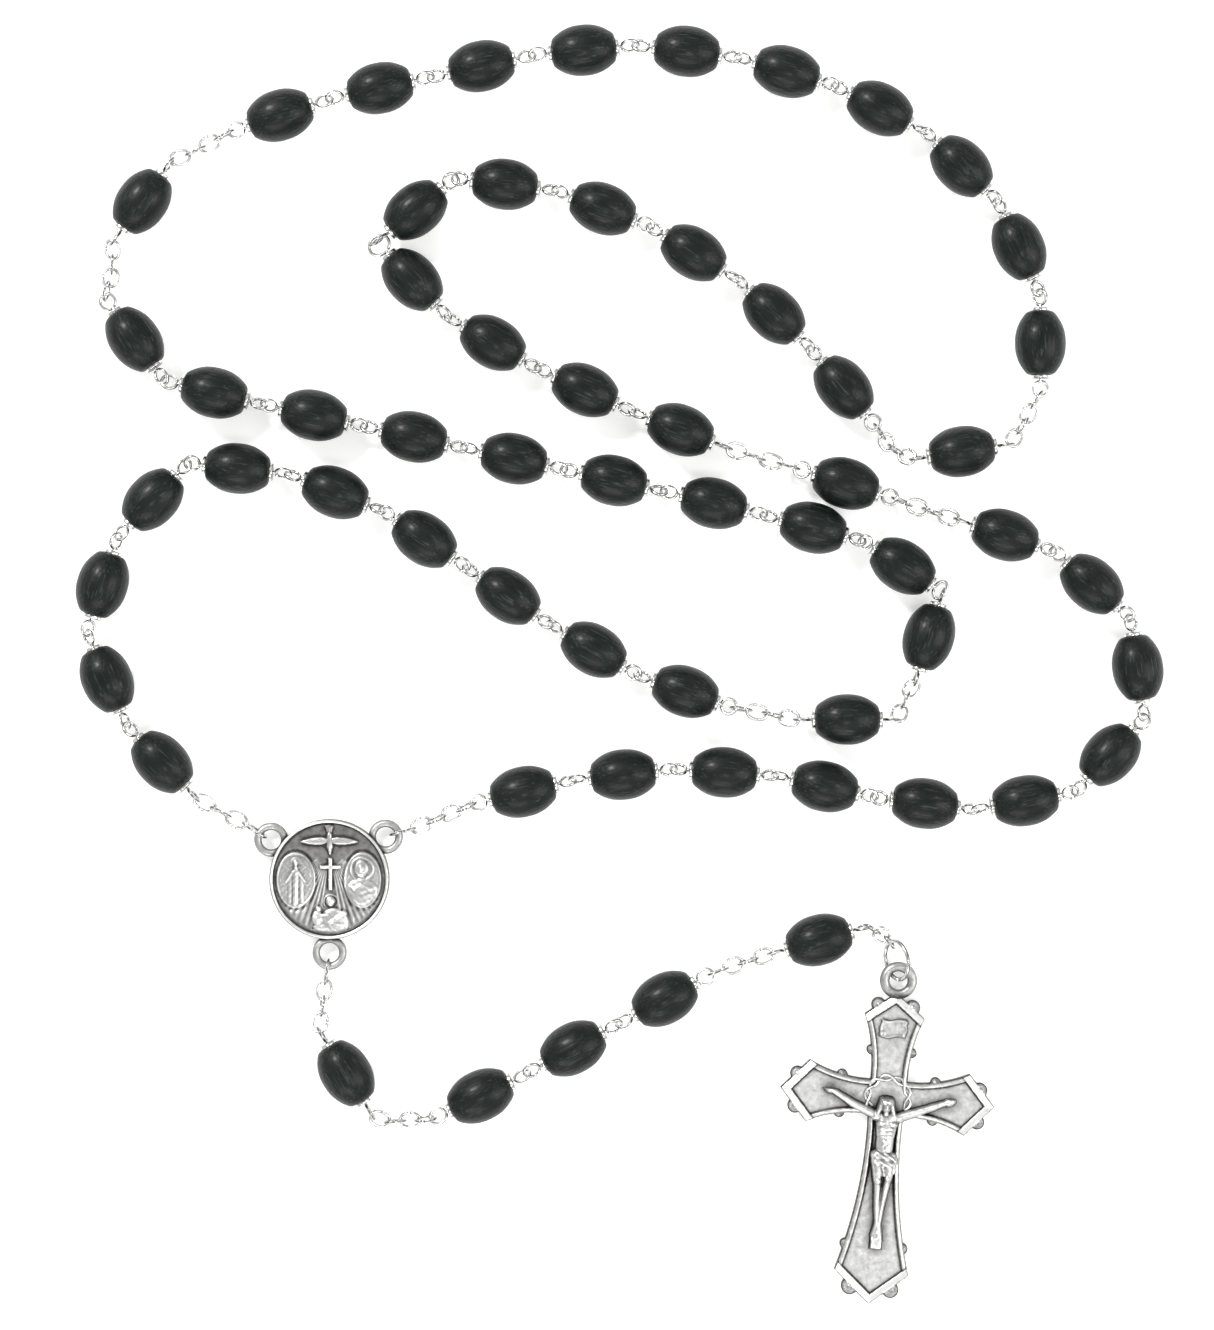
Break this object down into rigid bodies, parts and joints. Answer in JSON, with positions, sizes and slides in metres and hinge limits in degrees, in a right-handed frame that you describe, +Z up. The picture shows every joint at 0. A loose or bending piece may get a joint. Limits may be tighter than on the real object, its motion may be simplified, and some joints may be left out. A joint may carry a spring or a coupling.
{
  "type": "rosary",
  "caption": "Catholic rosary of dark oval wooden beads on wire eye pins, with chain links, a round centre medal and a pointed crucifix, laid out flat and posable at its links.",
  "frame": {"origin": "centre of the bounding box on the table under the laid-out rosary", "axes": "+X to the right and +Y up along the long side of the layout seen from above, +Z up from the table towards the viewer"},
  "size_m": [0.1292, 0.1524, 0.0059],
  "materials": {
    "black_wood": "satin dark-stained wood; the wire eyes and links joined to each bead are bright silver in the visual model",
    "antique_silver": "antiqued silver casting, bright raised edges and dark recesses"
  },
  "bodies": {
    "center_medal": {"center_medal": "antique_silver"},
    "crucifix": {"crucifix": "antique_silver"},
    "decade_1_bead_01": {"decade_1_bead_01": "black_wood"},
    "decade_1_bead_02": {"decade_1_bead_02": "black_wood"},
    "decade_1_bead_03": {"decade_1_bead_03": "black_wood"},
    "decade_1_bead_04": {"decade_1_bead_04": "black_wood"},
    "decade_1_bead_05": {"decade_1_bead_05": "black_wood"},
    "decade_1_bead_06": {"decade_1_bead_06": "black_wood"},
    "decade_1_bead_07": {"decade_1_bead_07": "black_wood"},
    "decade_1_bead_08": {"decade_1_bead_08": "black_wood"},
    "decade_1_bead_09": {"decade_1_bead_09": "black_wood"},
    "decade_1_bead_10": {"decade_1_bead_10": "black_wood"},
    "decade_2_bead_01": {"decade_2_bead_01": "black_wood"},
    "decade_2_bead_02": {"decade_2_bead_02": "black_wood"},
    "decade_2_bead_03": {"decade_2_bead_03": "black_wood"},
    "decade_2_bead_04": {"decade_2_bead_04": "black_wood"},
    "decade_2_bead_05": {"decade_2_bead_05": "black_wood"},
    "decade_2_bead_06": {"decade_2_bead_06": "black_wood"},
    "decade_2_bead_07": {"decade_2_bead_07": "black_wood"},
    "decade_2_bead_08": {"decade_2_bead_08": "black_wood"},
    "decade_2_bead_09": {"decade_2_bead_09": "black_wood"},
    "decade_2_bead_10": {"decade_2_bead_10": "black_wood"},
    "decade_3_bead_01": {"decade_3_bead_01": "black_wood"},
    "decade_3_bead_02": {"decade_3_bead_02": "black_wood"},
    "decade_3_bead_03": {"decade_3_bead_03": "black_wood"},
    "decade_3_bead_06": {"decade_3_bead_06": "black_wood"},
    "decade_3_bead_07": {"decade_3_bead_07": "black_wood"},
    "decade_3_bead_08": {"decade_3_bead_08": "black_wood"},
    "decade_3_bead_09": {"decade_3_bead_09": "black_wood"},
    "decade_3_bead_10": {"decade_3_bead_10": "black_wood"},
    "decade_3_beads_04_05": {"decade_3_beads_04_05": "black_wood"},
    "decade_4_bead_01": {"decade_4_bead_01": "black_wood"},
    "decade_4_bead_02": {"decade_4_bead_02": "black_wood"},
    "decade_4_bead_03": {"decade_4_bead_03": "black_wood"},
    "decade_4_bead_04": {"decade_4_bead_04": "black_wood"},
    "decade_4_bead_05": {"decade_4_bead_05": "black_wood"},
    "decade_4_bead_06": {"decade_4_bead_06": "black_wood"},
    "decade_4_bead_07": {"decade_4_bead_07": "black_wood"},
    "decade_4_bead_08": {"decade_4_bead_08": "black_wood"},
    "decade_4_bead_09": {"decade_4_bead_09": "black_wood"},
    "decade_4_bead_10": {"decade_4_bead_10": "black_wood"},
    "decade_5_bead_01": {"decade_5_bead_01": "black_wood"},
    "decade_5_bead_02": {"decade_5_bead_02": "black_wood"},
    "decade_5_bead_03": {"decade_5_bead_03": "black_wood"},
    "decade_5_bead_04": {"decade_5_bead_04": "black_wood"},
    "decade_5_bead_05": {"decade_5_bead_05": "black_wood"},
    "decade_5_bead_06": {"decade_5_bead_06": "black_wood"},
    "decade_5_bead_07": {"decade_5_bead_07": "black_wood"},
    "decade_5_bead_08": {"decade_5_bead_08": "black_wood"},
    "decade_5_bead_09": {"decade_5_bead_09": "black_wood"},
    "decade_5_bead_10": {"decade_5_bead_10": "black_wood"},
    "our_father_bead_1": {"our_father_bead_1": "black_wood"},
    "our_father_bead_2": {"our_father_bead_2": "black_wood"},
    "our_father_bead_3": {"our_father_bead_3": "black_wood"},
    "our_father_bead_4": {"our_father_bead_4": "black_wood"},
    "our_father_bead_5": {"our_father_bead_5": "black_wood"},
    "our_father_bead_6": {"our_father_bead_6": "black_wood"},
    "pendant_bead_1": {"pendant_bead_1": "black_wood"},
    "pendant_bead_2": {"pendant_bead_2": "black_wood"},
    "pendant_bead_3": {"pendant_bead_3": "black_wood"}
  },
  "joints": [
    {"name": "center_medal_to_decade_1_bead_01", "type": "hinge", "parent": "center_medal", "child": "decade_1_bead_01", "pos_m": [-0.043, -0.01994, 0.00111], "axis": [-0.5478, -0.8366, 0], "range_deg": [-60, 60]},
    {"name": "decade_1_bead_01_to_decade_1_bead_02", "type": "hinge", "parent": "decade_1_bead_01", "child": "decade_1_bead_02", "pos_m": [-0.05862, -0.00708, 0.00301], "axis": [0.8322, 0.5544, 0], "range_deg": [-30, 30]},
    {"name": "decade_1_bead_02_to_decade_1_bead_03", "type": "hinge", "parent": "decade_1_bead_02", "child": "decade_1_bead_03", "pos_m": [-0.06339, 0.00398, 0.00301], "axis": [0.9989, 0.0471, 0], "range_deg": [-20, 20]},
    {"name": "decade_1_bead_03_to_decade_1_bead_04", "type": "hinge", "parent": "decade_1_bead_03", "child": "decade_1_bead_04", "pos_m": [-0.05968, 0.01545, 0.00301], "axis": [-0.8601, 0.5101, 0], "range_deg": [-30, 30]},
    {"name": "decade_1_bead_04_to_decade_1_bead_05", "type": "hinge", "parent": "decade_1_bead_04", "child": "decade_1_bead_05", "pos_m": [-0.0514, 0.02419, 0.00301], "axis": [-0.3449, 0.9386, 0], "range_deg": [-20, 20]},
    {"name": "decade_1_bead_05_to_decade_1_bead_06", "type": "hinge", "parent": "decade_1_bead_05", "child": "decade_1_bead_06", "pos_m": [-0.03943, 0.02289, 0.00301], "axis": [-0.2375, -0.9714, 0], "range_deg": [-45, 45]},
    {"name": "decade_1_bead_06_to_decade_1_bead_07", "type": "hinge", "parent": "decade_1_bead_06", "child": "decade_1_bead_07", "pos_m": [-0.0282, 0.01852, 0.00301], "axis": [-0.4645, -0.8856, 0], "range_deg": [-45, 45]},
    {"name": "decade_1_bead_07_to_decade_1_bead_08", "type": "hinge", "parent": "decade_1_bead_07", "child": "decade_1_bead_08", "pos_m": [-0.01823, 0.01177, 0.00301], "axis": [0.5621, 0.8271, 0], "range_deg": [-45, 45]},
    {"name": "decade_1_bead_08_to_decade_1_bead_09", "type": "hinge", "parent": "decade_1_bead_08", "child": "decade_1_bead_09", "pos_m": [-0.00827, 0.00498, 0.00301], "axis": [0.532, 0.8468, 0], "range_deg": [-45, 45]},
    {"name": "decade_1_bead_09_to_decade_1_bead_10", "type": "hinge", "parent": "decade_1_bead_09", "child": "decade_1_bead_10", "pos_m": [0.00216, -0.00104, 0.00301], "axis": [0.4137, 0.9104, 0], "range_deg": [-45, 45]},
    {"name": "decade_1_bead_10_to_our_father_bead_1", "type": "hinge", "parent": "decade_1_bead_10", "child": "our_father_bead_1", "pos_m": [0.01735, -0.00564, 0.00181], "axis": [-0.1812, -0.9835, 0], "range_deg": [-45, 5]},
    {"name": "our_father_bead_1_to_decade_2_bead_01", "type": "hinge", "parent": "our_father_bead_1", "child": "decade_2_bead_01", "pos_m": [0.03443, -0.00339, 0.00197], "axis": [-0.8976, 0.4408, 0], "range_deg": [-5, 45]},
    {"name": "decade_2_bead_01_to_decade_2_bead_02", "type": "hinge", "parent": "decade_2_bead_01", "child": "decade_2_bead_02", "pos_m": [0.0385, 0.00888, 0.00301], "axis": [-0.9388, -0.3444, 0], "range_deg": [-20, 20]},
    {"name": "decade_2_bead_02_to_decade_2_bead_03", "type": "hinge", "parent": "decade_2_bead_02", "child": "decade_2_bead_03", "pos_m": [0.02895, 0.01496, 0.00301], "axis": [0.3989, 0.917, 0], "range_deg": [-40, 45]},
    {"name": "decade_2_bead_03_to_decade_2_bead_04", "type": "hinge", "parent": "decade_2_bead_03", "child": "decade_2_bead_04", "pos_m": [0.01716, 0.01801, 0.00301], "axis": [0.2403, 0.9707, 0], "range_deg": [-40, 40]},
    {"name": "decade_2_bead_04_to_decade_2_bead_05", "type": "hinge", "parent": "decade_2_bead_04", "child": "decade_2_bead_05", "pos_m": [0.00531, 0.02082, 0.00301], "axis": [-0.2221, -0.975, 0], "range_deg": [-40, 40]},
    {"name": "decade_2_bead_05_to_decade_2_bead_06", "type": "hinge", "parent": "decade_2_bead_05", "child": "decade_2_bead_06", "pos_m": [-0.00659, 0.02342, 0.00301], "axis": [-0.2136, -0.9769, 0], "range_deg": [-40, 40]},
    {"name": "decade_2_bead_06_to_decade_2_bead_07", "type": "hinge", "parent": "decade_2_bead_06", "child": "decade_2_bead_07", "pos_m": [-0.01848, 0.02602, 0.00301], "axis": [0.2123, 0.9772, 0], "range_deg": [-40, 40]},
    {"name": "decade_2_bead_07_to_decade_2_bead_08", "type": "hinge", "parent": "decade_2_bead_07", "child": "decade_2_bead_08", "pos_m": [-0.03039, 0.02859, 0.00301], "axis": [0.211, 0.9775, 0], "range_deg": [-40, 40]},
    {"name": "decade_2_bead_08_to_decade_2_bead_09", "type": "hinge", "parent": "decade_2_bead_08", "child": "decade_2_bead_09", "pos_m": [-0.04229, 0.03116, 0.00301], "axis": [-0.221, -0.9753, 0], "range_deg": [-40, 40]},
    {"name": "decade_2_bead_09_to_decade_2_bead_10", "type": "hinge", "parent": "decade_2_bead_09", "child": "decade_2_bead_10", "pos_m": [-0.05414, 0.03397, 0.00301], "axis": [-0.5568, -0.8306, 0], "range_deg": [-20, 20]},
    {"name": "decade_2_bead_10_to_our_father_bead_2", "type": "hinge", "parent": "decade_2_bead_10", "child": "our_father_bead_2", "pos_m": [-0.06058, 0.04713, 0.00181], "axis": [0.9936, -0.1127, 0], "range_deg": [-45, 10]},
    {"name": "our_father_bead_2_to_decade_3_bead_01", "type": "hinge", "parent": "our_father_bead_2", "child": "decade_3_bead_01", "pos_m": [-0.04975, 0.06191, 0.00181], "axis": [0.4472, -0.8944, 0], "range_deg": [-45, 5]},
    {"name": "decade_3_bead_01_to_decade_3_bead_02", "type": "hinge", "parent": "decade_3_bead_01", "child": "decade_3_bead_02", "pos_m": [-0.03452, 0.06751, 0.00301], "axis": [-0.2621, 0.965, 0], "range_deg": [-40, 40]},
    {"name": "decade_3_bead_02_to_decade_3_bead_03", "type": "hinge", "parent": "decade_3_bead_02", "child": "decade_3_bead_03", "pos_m": [-0.02245, 0.07012, 0.00301], "axis": [-0.2114, 0.9774, 0], "range_deg": [-40, 40]},
    {"name": "decade_3_bead_03_to_decade_3_beads_04_05", "type": "hinge", "parent": "decade_3_bead_03", "child": "decade_3_beads_04_05", "pos_m": [-0.01039, 0.07272, 0.00301], "axis": [-0.154, 0.9881, 0], "range_deg": [-40, 40]},
    {"name": "center_medal_to_decade_5_bead_10", "type": "hinge", "parent": "center_medal", "child": "decade_5_bead_10", "pos_m": [-0.0265, -0.01994, 0.00111], "axis": [-0.2809, 0.9597, 0], "range_deg": [-60, 60]},
    {"name": "decade_5_bead_10_to_decade_5_bead_09", "type": "hinge", "parent": "decade_5_bead_10", "child": "decade_5_bead_09", "pos_m": [-0.00557, -0.01354, 0.00301], "axis": [0.1689, -0.9856, 0], "range_deg": [-45, 45]},
    {"name": "decade_5_bead_09_to_decade_5_bead_08", "type": "hinge", "parent": "decade_5_bead_09", "child": "decade_5_bead_08", "pos_m": [0.00646, -0.01226, 0.00301], "axis": [0.0222, -0.9998, 0], "range_deg": [-45, 45]},
    {"name": "decade_5_bead_08_to_decade_5_bead_07", "type": "hinge", "parent": "decade_5_bead_08", "child": "decade_5_bead_07", "pos_m": [0.01853, -0.01301, 0.00301], "axis": [0.1386, 0.9904, 0], "range_deg": [-45, 45]},
    {"name": "decade_5_bead_07_to_decade_5_bead_06", "type": "hinge", "parent": "decade_5_bead_07", "child": "decade_5_bead_06", "pos_m": [0.03035, -0.0156, 0.00301], "axis": [0.1679, 0.9858, 0], "range_deg": [-45, 45]},
    {"name": "decade_5_bead_06_to_decade_5_bead_05", "type": "hinge", "parent": "decade_5_bead_06", "child": "decade_5_bead_05", "pos_m": [0.04236, -0.01707, 0.00301], "axis": [0.0271, -0.9996, 0], "range_deg": [-45, 45]},
    {"name": "decade_5_bead_05_to_decade_5_bead_04", "type": "hinge", "parent": "decade_5_bead_05", "child": "decade_5_bead_04", "pos_m": [0.05427, -0.01495, 0.00301], "axis": [0.4753, -0.8798, 0], "range_deg": [-20, 20]},
    {"name": "decade_5_bead_04_to_decade_5_bead_03", "type": "hinge", "parent": "decade_5_bead_04", "child": "decade_5_bead_03", "pos_m": [0.06257, -0.00615, 0.00301], "axis": [-0.954, 0.2998, 0], "range_deg": [-20, 20]},
    {"name": "decade_5_bead_03_to_decade_5_bead_02", "type": "hinge", "parent": "decade_5_bead_03", "child": "decade_5_bead_02", "pos_m": [0.0608, 0.00582, 0.00301], "axis": [-0.8772, -0.4801, 0], "range_deg": [-20, 20]},
    {"name": "decade_5_bead_02_to_decade_5_bead_01", "type": "hinge", "parent": "decade_5_bead_02", "child": "decade_5_bead_01", "pos_m": [0.05167, 0.01376, 0.00301], "axis": [0.4912, 0.871, 0], "range_deg": [-30, 30]},
    {"name": "decade_5_bead_01_to_our_father_bead_4", "type": "hinge", "parent": "decade_5_bead_01", "child": "our_father_bead_4", "pos_m": [0.03645, 0.0187, 0.00181], "axis": [0.3199, 0.9475, 0], "range_deg": [-45, 5]},
    {"name": "our_father_bead_4_to_decade_4_bead_10", "type": "hinge", "parent": "our_father_bead_4", "child": "decade_4_bead_10", "pos_m": [0.0171, 0.02476, 0.00181], "axis": [-0.2841, -0.9588, 0], "range_deg": [-5, 40]},
    {"name": "decade_4_bead_10_to_decade_4_bead_09", "type": "hinge", "parent": "decade_4_bead_10", "child": "decade_4_bead_09", "pos_m": [0.00152, 0.03034, 0.00301], "axis": [-0.3851, -0.9229, 0], "range_deg": [-40, 40]},
    {"name": "decade_4_bead_09_to_decade_4_bead_08", "type": "hinge", "parent": "decade_4_bead_09", "child": "decade_4_bead_08", "pos_m": [-0.00969, 0.03546, 0.00301], "axis": [0.4558, 0.8901, 0], "range_deg": [-40, 40]},
    {"name": "decade_4_bead_08_to_decade_4_bead_07", "type": "hinge", "parent": "decade_4_bead_08", "child": "decade_4_bead_07", "pos_m": [-0.02041, 0.04157, 0.00301], "axis": [0.6148, 0.7887, 0], "range_deg": [-40, 40]},
    {"name": "decade_4_bead_07_to_decade_4_bead_06", "type": "hinge", "parent": "decade_4_bead_07", "child": "decade_4_bead_06", "pos_m": [-0.02895, 0.05046, 0.00301], "axis": [-0.9982, 0.0604, 0], "range_deg": [-20, 20]},
    {"name": "decade_4_bead_06_to_decade_4_bead_05", "type": "hinge", "parent": "decade_4_bead_06", "child": "decade_4_bead_05", "pos_m": [-0.0196, 0.0581, 0.00301], "axis": [-0.2779, 0.9606, 0], "range_deg": [-20, 20]},
    {"name": "decade_4_bead_05_to_decade_4_bead_04", "type": "hinge", "parent": "decade_4_bead_05", "child": "decade_4_bead_04", "pos_m": [-0.00761, 0.05663, 0.00301], "axis": [-0.2406, -0.9706, 0], "range_deg": [-45, 45]},
    {"name": "decade_4_bead_04_to_decade_4_bead_03", "type": "hinge", "parent": "decade_4_bead_04", "child": "decade_4_bead_03", "pos_m": [0.00367, 0.05233, 0.00301], "axis": [-0.4389, -0.8985, 0], "range_deg": [-45, 45]},
    {"name": "decade_4_bead_03_to_decade_4_bead_02", "type": "hinge", "parent": "decade_4_bead_03", "child": "decade_4_bead_02", "pos_m": [0.014, 0.04608, 0.00301], "axis": [0.6046, 0.7965, 0], "range_deg": [-45, 45]},
    {"name": "decade_4_bead_02_to_decade_4_bead_01", "type": "hinge", "parent": "decade_4_bead_02", "child": "decade_4_bead_01", "pos_m": [0.0228, 0.03781, 0.00301], "axis": [0.7268, 0.6869, 0], "range_deg": [-45, 45]},
    {"name": "decade_4_bead_01_to_our_father_bead_3", "type": "hinge", "parent": "decade_4_bead_01", "child": "our_father_bead_3", "pos_m": [0.03234, 0.02615, 0.00181], "axis": [-0.6829, -0.7305, 0], "range_deg": [-45, 15]},
    {"name": "our_father_bead_3_to_decade_3_bead_10", "type": "hinge", "parent": "our_father_bead_3", "child": "decade_3_bead_10", "pos_m": [0.04845, 0.0294, 0.00181], "axis": [0.8611, -0.5084, 0], "range_deg": [-45, 10]},
    {"name": "decade_3_bead_10_to_decade_3_bead_09", "type": "hinge", "parent": "decade_3_bead_10", "child": "decade_3_bead_09", "pos_m": [0.05005, 0.04446, 0.00301], "axis": [-0.976, -0.2178, 0], "range_deg": [-30, 30]},
    {"name": "decade_3_bead_09_to_decade_3_bead_08", "type": "hinge", "parent": "decade_3_bead_09", "child": "decade_3_bead_08", "pos_m": [0.04504, 0.05537, 0.00301], "axis": [-0.8143, -0.5805, 0], "range_deg": [-30, 30]},
    {"name": "decade_3_bead_08_to_decade_3_bead_07", "type": "hinge", "parent": "decade_3_bead_08", "child": "decade_3_bead_07", "pos_m": [0.03637, 0.06366, 0.00301], "axis": [0.5788, 0.8155, 0], "range_deg": [-45, 45]},
    {"name": "decade_3_bead_07_to_decade_3_bead_06", "type": "hinge", "parent": "decade_3_bead_07", "child": "decade_3_bead_06", "pos_m": [0.02568, 0.06911, 0.00301], "axis": [0.3684, 0.9297, 0], "range_deg": [-45, 45]},
    {"name": "center_medal_to_our_father_bead_5", "type": "hinge", "parent": "center_medal", "child": "our_father_bead_5", "pos_m": [-0.03485, -0.03594, 0.00111], "axis": [0.9889, -0.1483, 0], "range_deg": [-60, 60]},
    {"name": "our_father_bead_5_to_pendant_bead_1", "type": "hinge", "parent": "our_father_bead_5", "child": "pendant_bead_1", "pos_m": [-0.02584, -0.0542, 0.00181], "axis": [0.0979, -0.9952, 0], "range_deg": [-45, 5]},
    {"name": "pendant_bead_1_to_pendant_bead_2", "type": "hinge", "parent": "pendant_bead_1", "child": "pendant_bead_2", "pos_m": [-0.01097, -0.04845, 0.00301], "axis": [0.4552, -0.8904, 0], "range_deg": [-40, 40]},
    {"name": "pendant_bead_2_to_pendant_bead_3", "type": "hinge", "parent": "pendant_bead_2", "child": "pendant_bead_3", "pos_m": [-0.00006, -0.04254, 0.00301], "axis": [-0.476, 0.8795, 0], "range_deg": [-40, 40]},
    {"name": "pendant_bead_3_to_our_father_bead_6", "type": "hinge", "parent": "pendant_bead_3", "child": "our_father_bead_6", "pos_m": [0.01445, -0.03544, 0.00181], "axis": [-0.3162, 0.9487, 0], "range_deg": [-5, 45]},
    {"name": "our_father_bead_6_to_crucifix", "type": "hinge", "parent": "our_father_bead_6", "child": "crucifix", "pos_m": [0.03315, -0.03589, 0.00131], "axis": [-0.9813, -0.1924, 0], "range_deg": [-60, 60]}
  ]
}
